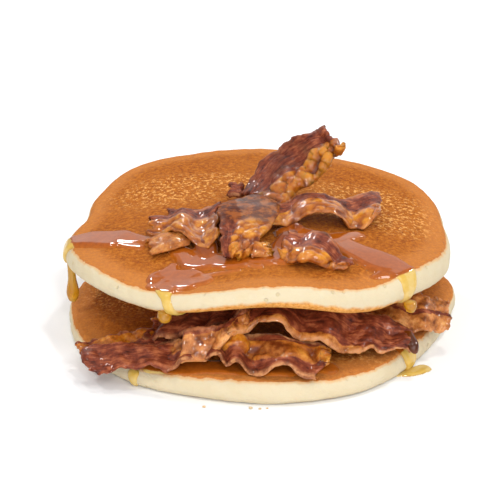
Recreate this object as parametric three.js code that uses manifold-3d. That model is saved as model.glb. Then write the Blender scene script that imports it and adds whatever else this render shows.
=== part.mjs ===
// Two pancakes with rashers of bacon between them and pieces of bacon heaped on top.
// Millimetres, +Z up. The origin is on the resting face, under the middle of the lower pancake.
// +X is to the right and +Y to the back, seen from the front of the stack.
import * as THREE from "three";
import { mergeVertices } from "three/addons/utils/BufferGeometryUtils.js";
import Module from "manifold-3d";

const wasm = await Module();
wasm.setup();

// Driving dimensions
const PANCAKE_RADIUS = 70;
const LOWER_THICKNESS = 9.5;
const UPPER_THICKNESS = 9.5;
const UPPER_CENTRE = [-2, 8];
const CREST_HEIGHT = 40.5; // top of the upper pancake along its middle
const SIDE_DROOP = 8.5; // how far its left and right edges hang below the crest
const DROOP_POWER = 2.2;
const RASHER_THICKNESS = 2.4;
const GAP = 0.3; // between pieces that touch

// Colours
const BAKED = 0xbd7638;
const LEAN = 0x6e3325;
const BURNT = 0x4a2c22;
const FATTY = 0xa8701f;
const TAN = 0xa9713f;
const BAKED_ROUGHNESS = 0.8;
const FRIED_ROUGHNESS = 0.35;

// Mesh fineness
const PANCAKE_SIDES = 60;
const RASHER_STEP = 2.6; // length of one facet along a rasher
const RASHER_ROWS = 3; // facets across a rasher
const SLOPE_STEP = 0.01; // share of a rasher's length over which its direction is taken
const SHORTEST_STEPS = 4; // facets along the shortest rasher
const MERGE_DISTANCE = 1e-4;

// A pancake's section, from the middle of its underside round the rim to the middle of its top:
// share of the radius, share of the thickness.
const SECTION = [
  [0, 0], [0.3, 0], [0.6, 0], [0.82, 0], [0.955, 0],
  [0.985, 0.12], [1, 0.42], [0.992, 0.74], [0.972, 0.93],
  [0.94, 1], [0.82, 1], [0.62, 1], [0.42, 1], [0.22, 1], [0, 1],
];

// Local changes: by how many millimetres, at what angle or place, and over what reach.
const LOWER_OUTLINE = [
  { angle: 334, reach: 20, grow: -6 },
  { angle: 255, reach: 16, grow: -2 },
  { angle: 22, reach: 12, grow: 5.5 },
  { angle: 163, reach: 12, grow: 2.5 },
];
const LOWER_RIM_THINNING = [
  { angle: 226, reach: 22, grow: 3.2 },
  { angle: 318, reach: 24, grow: 3 },
  { angle: 180, reach: 25, grow: 1.4 },
];
const LOWER_RIM_DROP = 1.2; // all round
const RIM_POWER = 6; // keeps the thinning close to the rim
const UPPER_OUTLINE = [
  { angle: 168, reach: 8, grow: -4 },
  { angle: 128, reach: 14, grow: 3.6 },
  { angle: 94, reach: 16, grow: 3.6 },
  { angle: 38, reach: 14, grow: 8 },
];
const UPPER_RIM_THINNING = [
  { angle: 222, reach: 34, grow: 3 },
  { angle: 275, reach: 22, grow: 1.6 },
];
const UPPER_SAGS = [
  { at: [-34, -52], reach: 19, depth: 5 },
  { at: [34, -50], reach: 15, depth: 4.2 },
  { at: [68, 2], reach: 20, depth: 2 },
  { at: [-50, 56], reach: 16, depth: -2.5 },
];

const bell = (distance, reach) => Math.exp(-(distance ** 2) / (2 * reach ** 2));

function sumByAngle(changes, degrees) {
  return changes.reduce((sum, { angle, reach, grow }) => {
    const off = THREE.MathUtils.euclideanModulo(degrees - angle + 180, 360) - 180;
    return sum + grow * bell(off, reach);
  }, 0);
}

// The two pancakes as surfaces: angle and radius about the centre, heights of both faces.
function polar([cx, cy], x, y) {
  return {
    degrees: THREE.MathUtils.radToDeg(Math.atan2(y - cy, x - cx)),
    share: Math.hypot(x - cx, y - cy) / PANCAKE_RADIUS,
  };
}

const lower = {
  centre: [0, 0],
  radius: (degrees) => PANCAKE_RADIUS + sumByAngle(LOWER_OUTLINE, degrees),
  underside: () => 0,
  top(x, y) {
    const { degrees, share } = polar(this.centre, x, y);
    const drop = LOWER_RIM_DROP + sumByAngle(LOWER_RIM_THINNING, degrees);
    return LOWER_THICKNESS - drop * Math.min(share, 1) ** RIM_POWER;
  },
};

const upper = {
  centre: UPPER_CENTRE,
  radius: (degrees) => PANCAKE_RADIUS + sumByAngle(UPPER_OUTLINE, degrees),
  top(x, y) {
    const droop = SIDE_DROOP * (Math.abs(x) / PANCAKE_RADIUS) ** DROOP_POWER;
    return UPPER_SAGS.reduce(
      (z, { at, reach, depth }) => z - depth * bell(Math.hypot(x - at[0], y - at[1]), reach),
      CREST_HEIGHT - droop,
    );
  },
  underside(x, y) {
    const { degrees, share } = polar(this.centre, x, y);
    const thinning = sumByAngle(UPPER_RIM_THINNING, degrees) * Math.min(share, 1) ** RIM_POWER;
    return this.top(x, y) - (UPPER_THICKNESS - thinning);
  },
};

// A round lathed disc, stretched to the pancake's outline and bent to its two faces.
function pancakeGeometry(pancake) {
  const profile = SECTION.map(([share, height]) => new THREE.Vector2(share, height));
  const geometry = new THREE.LatheGeometry(profile, PANCAKE_SIDES);
  const place = geometry.getAttribute("position");
  for (let i = 0; i < place.count; i++) {
    const angle = Math.atan2(-place.getZ(i), place.getX(i));
    const share = Math.hypot(place.getX(i), place.getZ(i));
    const reach = share * pancake.radius(THREE.MathUtils.radToDeg(angle));
    const x = pancake.centre[0] + reach * Math.cos(angle);
    const y = pancake.centre[1] + reach * Math.sin(angle);
    const z = THREE.MathUtils.lerp(pancake.underside(x, y), pancake.top(x, y), place.getY(i));
    place.setXYZ(i, x, y, z);
  }
  return geometry;
}

// Rashers between the pancakes. Each has a lean edge and a fat edge, as points [x, y, height above
// the lower pancake], and waves along its length that are tallest at the fat edge.
const FILLING = [
  {
    name: "bacon_back",
    colour: LEAN,
    lean: [[-52, 22, 1.4], [-20, 32, 9], [12, 36, 11], [48, 40, 1.4]],
    fat: [[-46, 44, 2.4], [-18, 54, 14], [14, 60, 17], [44, 62, 2.4]],
    waves: { count: 7, lean: 1, fat: 2.6, phase: 0.4 },
  },
  {
    name: "bacon_left_tip",
    colour: TAN,
    lean: [[-62, -47, 1.8], [-48, -46, 2.6], [-34, -46, 4], [-10, -34, 8], [22, -2, 9]],
    fat: [[-65, -39, 3.8], [-51, -37, 4.6], [-36, -35, 6], [-14, -14, 11], [12, 18, 13]],
    waves: { count: 5.5, lean: 0.8, fat: 0.9, phase: 1.1 },
  },
  {
    name: "bacon_right_tip",
    colour: LEAN,
    lean: [[66, -24, 2.2], [54, -31, 3], [38, -30, 5], [14, -14, 14], [-14, 16, 13]],
    fat: [[65, -16, 5.2], [54, -15, 7.5], [42, -8, 11], [26, 6, 17], [0, 34, 15]],
    waves: { count: 6, lean: 1.2, fat: 1.4, phase: 2.2 },
  },
  {
    name: "bacon_front",
    colour: LEAN,
    lean: [
      [-60, -57, 2.6], [-46, -58, 3.4], [-30, -61, 4], [-16, -61.5, 6], [-6, -64.5, 3.5],
      [20, -66, 3.5],
    ],
    fat: [
      [-62, -46, 6], [-45, -47, 6.5], [-31, -50, 8.5], [-17, -50, 8], [-5, -50, 9],
      [21, -52.5, 7.5],
    ],
    waves: { count: 7, lean: 1.3, fat: 2.6, phase: 0.2 },
  },
  {
    name: "bacon_inner",
    colour: LEAN,
    lean: [[-41, -44, 6], [-30, -46, 7], [-18, -46, 9], [-4, -38, 13]],
    fat: [[-38, -32, 7], [-26, -30, 11], [-14, -30, 14], [0, -24, 17]],
    waves: { count: 4, lean: 1, fat: 1.4, phase: 2.6 },
  },
  {
    name: "bacon_right",
    colour: LEAN,
    lean: [
      [-11, -57, 10.5], [-1, -52, 15], [13, -54, 12], [28, -53, 6], [38, -50, 5.5],
      [50, -46, 3.5],
    ],
    fat: [[-4, -36, 18], [6, -34, 19], [18, -34, 17], [30, -36, 14], [40, -36, 11], [51, -36, 7]],
    waves: { count: 5, lean: 1.4, fat: 1, phase: 1.6 },
  },
  {
    name: "bacon_curl",
    colour: TAN,
    lean: [[-27, -54, 4.5], [-20, -56, 5], [-13, -55.5, 9], [-6, -51, 13], [-6, -44, 14]],
    fat: [[-26, -50, 13.5], [-18, -51.5, 14], [-12, -51, 15.5], [-7, -48, 17.5], [-8, -42, 18]],
    waves: { count: 2.5, lean: 0.5, fat: 0.6, phase: 0.5 },
  },
];

// Pieces on top, with heights above the upper pancake.
const TOPPING = [
  {
    name: "topping_dark_slab",
    colour: BURNT,
    lean: [[-35, 9, 1.6], [-26, 7, 1.8], [-13, 5, 3.5]],
    fat: [[-35, -3, 1.6], [-26, -5, 1.8], [-13, -8, 3]],
    waves: { count: 1, lean: 0.4, fat: 0.4, phase: 0 },
  },
  {
    name: "topping_tan_slab",
    colour: TAN,
    lean: [[-41, -16, 1.5], [-33, -15, 2.6], [-26, -14, 3.6]],
    fat: [[-40, -28, 1.5], [-33, -26, 1.8], [-24, -23, 2.6]],
    waves: { count: 1, lean: 0.3, fat: 0.3, phase: 0 },
  },
  {
    name: "topping_left_fold",
    colour: FATTY,
    lean: [[-40, -3, 3], [-32, -1, 5], [-24, -1, 5.5], [-15, -2, 7]],
    fat: [[-41, -13, 2], [-32, -17, 4.5], [-23, -27, 3], [-15, -26, 5.5]],
    waves: { count: 2.5, lean: 0.8, fat: 1.4, phase: 2 },
  },
  {
    name: "topping_right_wave",
    colour: FATTY,
    lean: [[5, 2, 5], [14, 8, 8], [24, 9, 5.5], [33, 14, 6.5], [43, 22, 4]],
    fat: [[0, -17, 3], [12, -9, 5], [24, -7, 4], [34, -7, 1.8], [42, 4, 3]],
    waves: { count: 3, lean: 1, fat: 2.2, phase: 0.8 },
  },
  {
    name: "topping_front_chunk",
    colour: FATTY,
    lean: [[9, -27, 5], [17, -26, 7], [25, -31, 5], [31, -36, 1.6]],
    fat: [[4, -36, 3.4], [10, -43, 3], [19, -42, 2.6], [29, -40, 1.6]],
    waves: { count: 3, lean: 1, fat: 1.6, phase: 1 },
  },
  {
    name: "topping_amber_bit",
    colour: FATTY,
    lean: [[-5, -30, 4], [1, -31, 4]],
    fat: [[-4, -38, 2], [3, -37, 2]],
    waves: { count: 1, lean: 0.5, fat: 0.5, phase: 0 },
  },
  {
    name: "topping_small_curl",
    colour: LEAN,
    lean: [[-12, 24, 6], [-8, 23, 6]],
    fat: [[-13, 15, 3], [-7, 14, 4]],
    waves: { count: 1, lean: 0.5, fat: 0.5, phase: 0 },
  },
  {
    name: "topping_leaning",
    colour: LEAN,
    lean: [[-9, 16, 4], [2, 29, 15], [12, 27, 22], [22, 25, 28]],
    fat: [[5, 0, 4], [13, 9, 8], [23, 14, 15], [29, 15, 23]],
    waves: { count: 4.5, lean: 0.6, fat: 1.6, phase: 0.6 },
  },
  {
    name: "topping_fold",
    colour: BURNT,
    lean: [[-16, -1, 6], [-15.5, -13, 9.5], [-15, -27, 8], [-14, -37, 3]],
    fat: [[-1, 8, 7], [6, -8, 7.5], [1, -26, 6], [-6, -38.5, 2.5]],
    waves: { count: 1.5, lean: 0.8, fat: 0.8, phase: 0 },
  },
];

// A rasher as a surface: u along it, v from the lean edge (0) to the fat edge (1), in 0 to 1, and
// side from -1 (underneath) to 1 (on top). grow thickens it all round.
class Rasher {
  constructor({ name, colour, lean, fat, waves }, floor, ceiling) {
    this.name = name;
    this.colour = colour;
    this.waves = waves;
    this.floor = floor;
    this.ceiling = ceiling;
    [this.lean, this.fat] = [lean, fat].map(
      (points) =>
        new THREE.CatmullRomCurve3(
          points.map(([x, y, height]) => new THREE.Vector3(x, y, floor(x, y) + height)),
        ),
    );
    this.length = (this.lean.getLength() + this.fat.getLength()) / 2;
  }

  // The flat strip between the two edges.
  base(u, v) {
    return this.lean.getPoint(u).lerp(this.fat.getPoint(u), v);
  }

  // Unit directions along the strip, across it and out of its face.
  frame(u, v) {
    const ahead = this.base(Math.min(u + SLOPE_STEP, 1), v);
    const behind = this.base(Math.max(u - SLOPE_STEP, 0), v);
    const along = ahead.sub(behind).normalize();
    const across = this.base(u, 1).sub(this.base(u, 0)).normalize();
    const up = along.clone().cross(across).normalize();
    return { along, across, up: up.multiplyScalar(Math.sign(up.z)) };
  }

  // The waves lift the strip, each edge by its own amount. It stays clear of what is over and under it.
  middle(u, v) {
    const { count, lean, fat, phase } = this.waves;
    const lift = THREE.MathUtils.lerp(lean, fat, v) * Math.sin(2 * Math.PI * count * u + phase);
    const point = this.base(u, v).addScaledVector(this.frame(u, v).up, lift);
    const clear = GAP + RASHER_THICKNESS / 2;
    const low = this.floor(point.x, point.y) + clear;
    const high = this.ceiling(point.x, point.y) - clear;
    point.z = Math.min(Math.max(point.z, low), high);
    return point;
  }

  // A box laid along the strip, and pushed out by grow on every side.
  geometry(grow = 0) {
    const steps = Math.max(SHORTEST_STEPS, Math.round(this.length / RASHER_STEP));
    const box = new THREE.BoxGeometry(1, 1, 2, steps, RASHER_ROWS, 1);
    const place = box.getAttribute("position");
    for (let i = 0; i < place.count; i++) {
      const u = place.getX(i) + 0.5;
      const v = place.getY(i) + 0.5;
      const { along, across, up } = this.frame(u, v);
      const point = this.middle(u, v)
        .addScaledVector(up, place.getZ(i) * (RASHER_THICKNESS / 2 + grow))
        .addScaledVector(along, grow * edgeSign(u))
        .addScaledVector(across, grow * edgeSign(v));
      place.setXYZ(i, point.x, point.y, point.z);
    }
    return box;
  }
}

// -1 at the start of a side, 1 at its end, 0 between.
function edgeSign(share) {
  if (share > 0 && share < 1) {
    return 0;
  }
  return share <= 0 ? -1 : 1;
}

function solidOf(geometry) {
  const bare = new THREE.BufferGeometry();
  bare.setAttribute("position", geometry.getAttribute("position"));
  bare.setIndex(geometry.index);
  const merged = mergeVertices(bare, MERGE_DISTANCE);
  const vertProperties = merged.getAttribute("position").array;
  const triVerts = new Uint32Array(merged.index.array);
  const solid = new wasm.Manifold(new wasm.Mesh({ numProp: 3, vertProperties, triVerts }));
  if (solid.volume() > 0) {
    return solid;
  }
  triVerts.reverse();
  return new wasm.Manifold(new wasm.Mesh({ numProp: 3, vertProperties, triVerts }));
}

function geometryOf(solid) {
  const { vertProperties, triVerts } = solid.getMesh();
  const geometry = new THREE.BufferGeometry();
  geometry.setAttribute("position", new THREE.BufferAttribute(vertProperties, 3));
  geometry.setIndex(new THREE.BufferAttribute(triVerts, 1));
  geometry.computeVertexNormals();
  return geometry;
}

const biggest = (solid) =>
  solid.decompose().reduce((best, piece) => (piece.volume() > best.volume() ? piece : best));

// Each rasher is cut back to a small gap wherever it presses on one placed before it.
function pressed(rashers) {
  const placed = [];
  return rashers.map((rasher) => {
    const cut = placed.reduce((solid, other) => solid.subtract(other), solidOf(rasher.geometry()));
    placed.push(solidOf(rasher.geometry(GAP)));
    return { name: rasher.name, colour: rasher.colour, solid: biggest(cut) };
  });
}

const stack = new THREE.Group();

function add(name, solid, color, roughness) {
  const material = new THREE.MeshStandardMaterial({ color, roughness, metalness: 0 });
  const mesh = new THREE.Mesh(geometryOf(solid), material);
  mesh.name = name;
  stack.add(mesh);
}

add("pancake_lower", solidOf(pancakeGeometry(lower)), BAKED, BAKED_ROUGHNESS);
add("pancake_upper", solidOf(pancakeGeometry(upper)), BAKED, BAKED_ROUGHNESS);

const onLower = (x, y) => lower.top(x, y);
const onUpper = (x, y) => upper.top(x, y);

function underUpper(x, y) {
  return polar(UPPER_CENTRE, x, y).share < 1 ? upper.underside(x, y) : Infinity;
}

const filling = FILLING.map((rasher) => new Rasher(rasher, onLower, underUpper));
const topping = TOPPING.map((rasher) => new Rasher(rasher, onUpper, () => Infinity));
for (const { name, colour, solid } of [...pressed(filling), ...pressed(topping)]) {
  add(name, solid, colour, FRIED_ROUGHNESS);
}

export default stack;
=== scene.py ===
"""A stack of two thick pancakes with wavy bacon between them, bacon heaped on top, and syrup over all.

The tables are in millimetres, in the same frame as the solids, and the meshes in metres. +X is to the
right and +Y to the back, seen from the front. Every surface is a function of two parameters, worked out
on a grid as whole arrays.
"""

import math

import bpy
import numpy as np
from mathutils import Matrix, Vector


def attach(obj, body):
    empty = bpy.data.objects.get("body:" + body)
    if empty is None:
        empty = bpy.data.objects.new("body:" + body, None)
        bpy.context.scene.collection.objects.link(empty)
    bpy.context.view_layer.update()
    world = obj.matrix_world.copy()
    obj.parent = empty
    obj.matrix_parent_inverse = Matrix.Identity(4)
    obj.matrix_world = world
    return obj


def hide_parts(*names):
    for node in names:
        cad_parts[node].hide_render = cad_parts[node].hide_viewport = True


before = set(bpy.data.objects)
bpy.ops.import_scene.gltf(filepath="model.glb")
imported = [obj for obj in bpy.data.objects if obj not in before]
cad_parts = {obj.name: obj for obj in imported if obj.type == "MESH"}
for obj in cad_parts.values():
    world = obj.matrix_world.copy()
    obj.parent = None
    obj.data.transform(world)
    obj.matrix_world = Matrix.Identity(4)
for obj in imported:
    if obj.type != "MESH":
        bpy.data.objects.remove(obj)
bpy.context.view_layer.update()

MM = 0.001
BODY = "root"

# Driving dimensions, as in the solids
PANCAKE_RADIUS = 70
THICKNESS = 9.5
CREST_HEIGHT = 40.5
SIDE_DROOP = 8.5
DROOP_POWER = 2.2
RIM_POWER = 6

# A pancake's rim: how far the rounding above and below the widest line reaches in, and that line's
# share of the thickness.
TOP_INSET = 3.4
FOOT_INSET = 3.2
WIDEST = 0.42
SIDE_ABOVE = 7.2  # length of the section from the top edge down to the widest line
SIDE_BELOW = 5.4  # and from there to the underside
SIDE_LENGTH = SIDE_ABOVE + SIDE_BELOW


# ---- numbers


def bell(distance, reach):
    return np.exp(-(distance**2) / (2 * reach**2))


def smoothstep(low, high, value):
    """0 below low, 1 above high, and 3t^2 - 2t^3 between."""
    t = np.clip((value - low) / (high - low), 0, 1)
    return t * t * (3 - 2 * t)


def unit(vectors):
    return vectors / np.maximum(np.linalg.norm(vectors, axis=-1, keepdims=True), 1e-9)


def scramble(whole):
    """A number from -1 to 1 for each triple of whole numbers, always the same for the same triple."""
    mixed = (whole[..., 0] * 73856093) ^ (whole[..., 1] * 19349663) ^ (whole[..., 2] * 83492791)
    mixed = (mixed ^ (mixed >> 13)) * 1274126177 & 0x7FFFFFFF
    mixed = (mixed ^ (mixed >> 16)) * 668265263 & 0x7FFFFFFF
    return (mixed ^ (mixed >> 15)) / 2**30 - 1


def noise(points, size, seed):
    """Smooth noise from -1 to 1. Each corner of a lattice of cells that wide has a scrambled value, and a
    point takes the smoothstep mix of the eight corners round it."""
    place = np.asarray(points, float) / size + 31.7 * seed
    low = np.floor(place).astype(np.int64)
    share = place - low
    share = share * share * (3 - 2 * share)
    total = np.zeros(place.shape[:-1])
    for corner in np.ndindex(2, 2, 2):
        weight = np.prod(np.where(np.array(corner) == 1, share, 1 - share), axis=-1)
        total += scramble(low + np.array(corner)) * weight
    return total


def bubbles(points, size, seed):
    """Rounded blisters, from 0 to 1. Each cell of a flat lattice, warped by noise, holds half a ball off
    its middle, and a point takes the tallest of the nine round it."""
    warp = flat(noise(points, size, seed + 40), noise(points, size, seed + 41))
    place = np.asarray(points, float) / size + 17.3 * seed + 0.45 * warp
    cell = np.floor(place).astype(np.int64)
    tallest = np.zeros(place.shape[:-1])
    for column, row in np.ndindex(3, 3):
        whole = cell + np.array([column - 1, row - 1, 0])
        beside = scramble(whole), scramble(whole + np.array([0, 0, 7]))
        gap_x = place[..., 0] - whole[..., 0] - 0.5 - 0.35 * beside[0]
        gap_y = place[..., 1] - whole[..., 1] - 0.5 - 0.35 * beside[1]
        radius = 0.62 + 0.18 * scramble(whole + np.array([0, 0, 13]))
        ball = np.sqrt(np.clip(1 - (gap_x**2 + gap_y**2) / radius**2, 0, 1))
        tallest = np.maximum(tallest, ball * radius / 0.8)
    return tallest


def layered(points, size, seed, layers=3):
    """Noise with each finer layer half as wide and half as tall."""
    return sum(noise(points, size / 2**k, seed + k) / 2**k for k in range(layers))


def flat(*columns):
    """Points from columns of numbers, with zeros for a missing third."""
    columns = np.broadcast_arrays(*columns, *[0.0] * (3 - len(columns)))
    return np.stack(columns, axis=-1)


# ---- meshes


def skin(name, points, ids, values, paint):
    """A piece from a grid of points in millimetres. Neighbouring points are joined by faces, the last
    column to the first. Points with the same number in ids are one vertex. values are attributes:
    name to an array of one number or three for each point."""
    beside = np.roll(ids, -1, axis=1)
    faces = np.stack([ids[:-1], ids[1:], beside[1:], beside[:-1]], axis=-1).reshape(-1, 4)
    return faced(name, points.reshape(-1, 3), faces, flattened(values), ids.ravel(), paint)


def pole_ids(rows, columns):
    """Numbers for a grid whose first and last rows are one vertex each."""
    ids = np.arange(rows * columns).reshape(rows, columns)
    ids[0] = ids[0, 0]
    ids[-1] = ids[-1, 0]
    return ids


def flattened(values):
    return {key: np.asarray(v).reshape(-1, v.shape[-1] if v.ndim == 3 else 1) for key, v in values.items()}


def faced(name, points, faces, values, ids, paint):
    """A mesh piece from vertices and four-cornered faces. A face whose corner repeats the next one loses
    it. The faces are turned if the volume inside comes out negative."""
    used = np.unique(faces)
    every, first = np.unique(ids, return_index=True)
    first = first[np.searchsorted(every, used)]
    number = np.zeros(ids.max() + 1, np.int64)
    number[used] = np.arange(len(used))
    faces = number[faces]
    vertices = points[first] * MM
    corner = vertices[faces]
    volume = sum((corner[:, 0] * np.cross(corner[:, k], corner[:, k + 1])).sum() for k in (1, 2))
    if volume < 0:
        faces = faces[:, ::-1]
    kept = faces != np.roll(faces, -1, axis=1)
    counts = kept.sum(axis=1)
    kept &= (counts > 2)[:, None]
    counts = counts[counts > 2]
    loops = faces[kept]
    mesh = bpy.data.meshes.new(name)
    mesh.vertices.add(len(vertices))
    mesh.vertices.foreach_set("co", vertices.astype(np.float32).ravel())
    mesh.loops.add(len(loops))
    mesh.loops.foreach_set("vertex_index", loops.astype(np.int32))
    mesh.polygons.add(len(counts))
    mesh.polygons.foreach_set("loop_start", (np.cumsum(counts) - counts).astype(np.int32))
    mesh.polygons.foreach_set("use_smooth", np.ones(len(counts), bool))
    mesh.update(calc_edges=True)
    for key, value in values.items():
        kind, field = ("FLOAT", "value") if value.shape[1] == 1 else ("FLOAT_VECTOR", "vector")
        attribute = mesh.attributes.new(key, kind, "POINT")
        attribute.data.foreach_set(field, value[first].astype(np.float32).ravel())
    mesh.validate()
    mesh.materials.append(paint)
    piece = bpy.data.objects.new(name, mesh)
    bpy.context.scene.collection.objects.link(piece)
    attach(piece, BODY)
    return piece


def shell(name, top, bottom, keep, values, paint):
    """A closed film over a grid: the top and bottom sheets where keep is true for a cell, and walls
    round the border of the kept cells."""
    rows, columns = top.shape[:2]
    ids = np.arange(rows * columns).reshape(rows, columns)
    cells = np.stack([ids[:-1, :-1], ids[1:, :-1], ids[1:, 1:], ids[:-1, 1:]], axis=-1)[keep]
    under = cells[:, ::-1] + rows * columns
    edges = np.concatenate([cells[:, [k, (k + 1) % 4]] for k in range(4)])
    key = np.sort(edges, axis=1) @ np.array([rows * columns, 1])
    _, index, count = np.unique(key, return_index=True, return_counts=True)
    border = edges[index[count == 1]]
    walls = np.stack([border[:, 1], border[:, 0], border[:, 0], border[:, 1]], axis=1)
    walls[:, 2:] += rows * columns
    faces = np.concatenate([cells, under, walls])
    points = np.concatenate([top.reshape(-1, 3), bottom.reshape(-1, 3)])
    both = {k: np.concatenate([v, v]) for k, v in flattened(values).items()}
    return faced(name, points, faces, both, np.arange(len(points)), paint)


# ---- materials


class Paint:
    """A material's nodes, made one after another."""

    def __init__(self, name, **constants):
        self.material = bpy.data.materials.new(name)
        self.material.use_nodes = True
        self.tree = self.material.node_tree
        self.shader = self.tree.nodes["Principled BSDF"]
        for socket, value in constants.items():
            self.shader.inputs[socket.replace("_", " ")].default_value = value

    def node(self, kind, inputs=(), **settings):
        made = self.tree.nodes.new(kind)
        for key, value in settings.items():
            setattr(made, key, value)
        for socket, value in dict(inputs).items():
            self.join(value, made.inputs[socket])
        return made

    def join(self, value, socket):
        if isinstance(value, bpy.types.NodeSocket):
            self.tree.links.new(value, socket)
        else:
            socket.default_value = value

    def place(self):
        return self.node("ShaderNodeTexCoord").outputs["Object"]

    def attribute(self, name, output="Fac"):
        return self.node("ShaderNodeAttribute", attribute_name=name).outputs[output]

    def parts(self, name):
        return self.node("ShaderNodeSeparateXYZ", {"Vector": self.attribute(name, "Vector")}).outputs

    def scaled(self, vector, scale):
        return self.node("ShaderNodeMapping", {"Vector": vector, "Scale": scale}).outputs["Vector"]

    def noise(self, vector, scale, detail=3.0, roughness=0.5):
        inputs = {"Vector": vector, "Scale": scale, "Detail": detail, "Roughness": roughness}
        return self.node("ShaderNodeTexNoise", inputs).outputs["Fac"]

    def spots(self, vector, scale):
        return self.node("ShaderNodeTexVoronoi", {"Vector": vector, "Scale": scale}).outputs["Distance"]

    def sum(self, a, b, operation="ADD"):
        return self.node("ShaderNodeMath", {0: a, 1: b}, operation=operation).outputs[0]

    def times(self, a, b):
        return self.sum(a, b, "MULTIPLY")

    def step(self, value, low, high, to_low=0.0, to_high=1.0):
        inputs = {"Value": value, "From Min": low, "From Max": high, "To Min": to_low, "To Max": to_high}
        node = self.node("ShaderNodeMapRange", inputs, interpolation_type="SMOOTHSTEP")
        return node.outputs["Result"]

    def ramp(self, value, *stops):
        node = self.node("ShaderNodeValToRGB", {"Fac": value})
        steps = node.color_ramp.elements
        for _ in stops[2:]:
            steps.new(0.5)
        for element, (place, colour) in zip(steps, stops):
            element.position = place
            element.color = (*colour, 1)
        return node.outputs["Color"]

    def mix(self, share, a, b, blend="MIX"):
        node = self.node("ShaderNodeMix", data_type="RGBA", blend_type=blend)
        colours = [s for s in node.inputs if s.type == "RGBA"]
        self.join(share, node.inputs["Factor"])
        self.join((*a, 1) if isinstance(a, tuple) else a, colours[0])
        self.join((*b, 1) if isinstance(b, tuple) else b, colours[1])
        return [s for s in node.outputs if s.type == "RGBA"][0]

    def bump(self, height, distance, strength):
        inputs = {"Height": height, "Distance": distance, "Strength": strength}
        return self.node("ShaderNodeBump", inputs).outputs["Normal"]

    def past_edge(self, section, place):
        """Section length from the top edge, made uneven, for where brown turns to cream."""
        wobble = self.times(self.sum(self.noise(place, 230, 4, 0.6), -0.5), 3.0)
        return self.sum(section, wobble)

    def set(self, socket, value):
        self.join(value, self.shader.inputs[socket])


def baked_pancake():
    """Orange-brown on both faces with fine mottling and paler specks, cream sides with small pores painted
    darker as shade, and a browned foot. The attribute section_mm runs from the top edge (0) down the
    side; foot_mm is how far up the side the browning of the foot reaches."""
    paint = Paint("baked_pancake", Subsurface_Weight=0.1, Subsurface_Scale=0.002)
    paint.set("Subsurface Radius", (1.0, 0.55, 0.25))
    paint.set("Specular IOR Level", 0.05)
    place = paint.place()
    section = paint.attribute("section_mm")
    speck = paint.attribute("speckle")
    foot_height = paint.attribute("foot_mm")

    cloud = paint.noise(place, 38)
    mottle = paint.noise(place, 780, 5, 0.7)
    grain = paint.noise(place, 1700, 2)
    brown = paint.ramp(
        mottle,
        (0.34, (0.19, 0.039, 0.004)), (0.5, (0.355, 0.097, 0.01)), (0.66, (0.52, 0.18, 0.026)),
    )
    brown = paint.mix(paint.step(cloud, 0.35, 0.7, 0.0, 0.35), brown, (0.43, 0.14, 0.022))
    flecks = paint.step(paint.noise(place, 680, 3, 0.7), 0.5, 0.64)
    brown = paint.mix(paint.times(paint.times(flecks, speck), 0.8), brown, (0.84, 0.42, 0.12))
    brown = paint.mix(paint.step(grain, 0.6, 0.75, 0.0, 0.4), brown, (0.22, 0.055, 0.01))
    ring = paint.step(paint.sum(section, paint.times(paint.noise(place, 120), 5.0)), -8.0, -1.0)
    brown = paint.mix(paint.times(ring, 0.5), brown, (0.6, 0.23, 0.06))

    cream = paint.mix(paint.noise(place, 150), (0.6, 0.49, 0.31), (0.63, 0.55, 0.395))
    pores = paint.step(paint.spots(place, 260), 0.12, 0.22, 1, 0)
    pores = paint.times(pores, paint.step(paint.noise(place, 90, 1), 0.5, 0.6))
    # Painted shade: the pores are coloured darker, as shade in the pits.
    cream = paint.mix(paint.times(pores, 0.35), cream, (0.5, 0.36, 0.17))

    edge = paint.past_edge(section, place)
    pale = paint.step(edge, 0.9, 1.5)
    line = paint.times(pale, paint.step(edge, 1.2, 2.8, 1, 0))
    colour = paint.mix(pale, brown, cream)
    colour = paint.mix(paint.times(line, 0.6), colour, (0.66, 0.31, 0.075))
    above_foot = paint.sum(SIDE_LENGTH, edge, "SUBTRACT")
    foot = paint.step(paint.sum(above_foot, foot_height, "SUBTRACT"), -1.2, 0.6, 1, 0)
    toasted = paint.mix(paint.step(mottle, 0.35, 0.65), (0.52, 0.2, 0.032), (0.74, 0.37, 0.105))
    colour = paint.mix(foot, colour, toasted)
    paint.set("Base Color", colour)
    paint.set("Roughness", paint.step(mottle, 0.3, 0.7, 0.6, 0.8))

    fine = paint.sum(paint.times(mottle, 0.6), paint.times(grain, 0.4))
    relief = paint.sum(fine, paint.times(pores, -0.8))
    paint.set("Normal", paint.bump(relief, 0.0005, 0.8))
    return paint.material


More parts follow.
